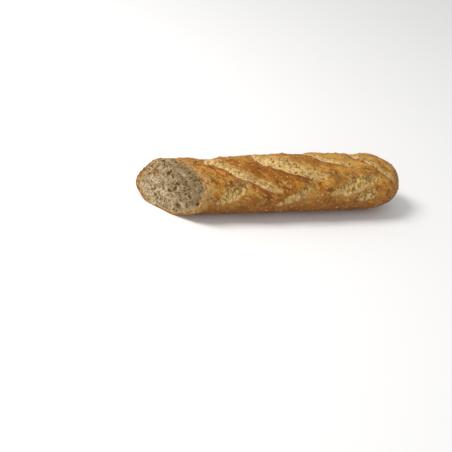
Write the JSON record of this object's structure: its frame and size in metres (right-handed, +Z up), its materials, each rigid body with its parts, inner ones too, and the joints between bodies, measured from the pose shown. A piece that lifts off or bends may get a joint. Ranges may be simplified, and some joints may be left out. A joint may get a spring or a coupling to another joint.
{
  "type": "baguette",
  "caption": "Seeded wholegrain baguette with slanted slashes in its crust, cut off on the slant at one end and rounded at the other, resting on its flat base.",
  "frame": {"origin": "middle of the flat base, under the centre of the loaf's outline", "axes": "+X along the loaf from the cut end to the rounded end, +Z up, and -Y towards the side that the cut face turns to; the cut also leans back towards its top"},
  "size_m": [0.275, 0.0658, 0.0556],
  "materials": {
    "crust": "dry baked crust, golden brown, matt with a slight sheen",
    "crumb": "soft open crumb, grey beige, matt",
    "dark_seed": "smooth linseed, dark brown, satin",
    "pale_seed": "toasted sesame and sunflower kernel, pale beige, matt"
  },
  "bodies": {
    "root": {"loaf": "crust"}
  },
  "joints": []
}
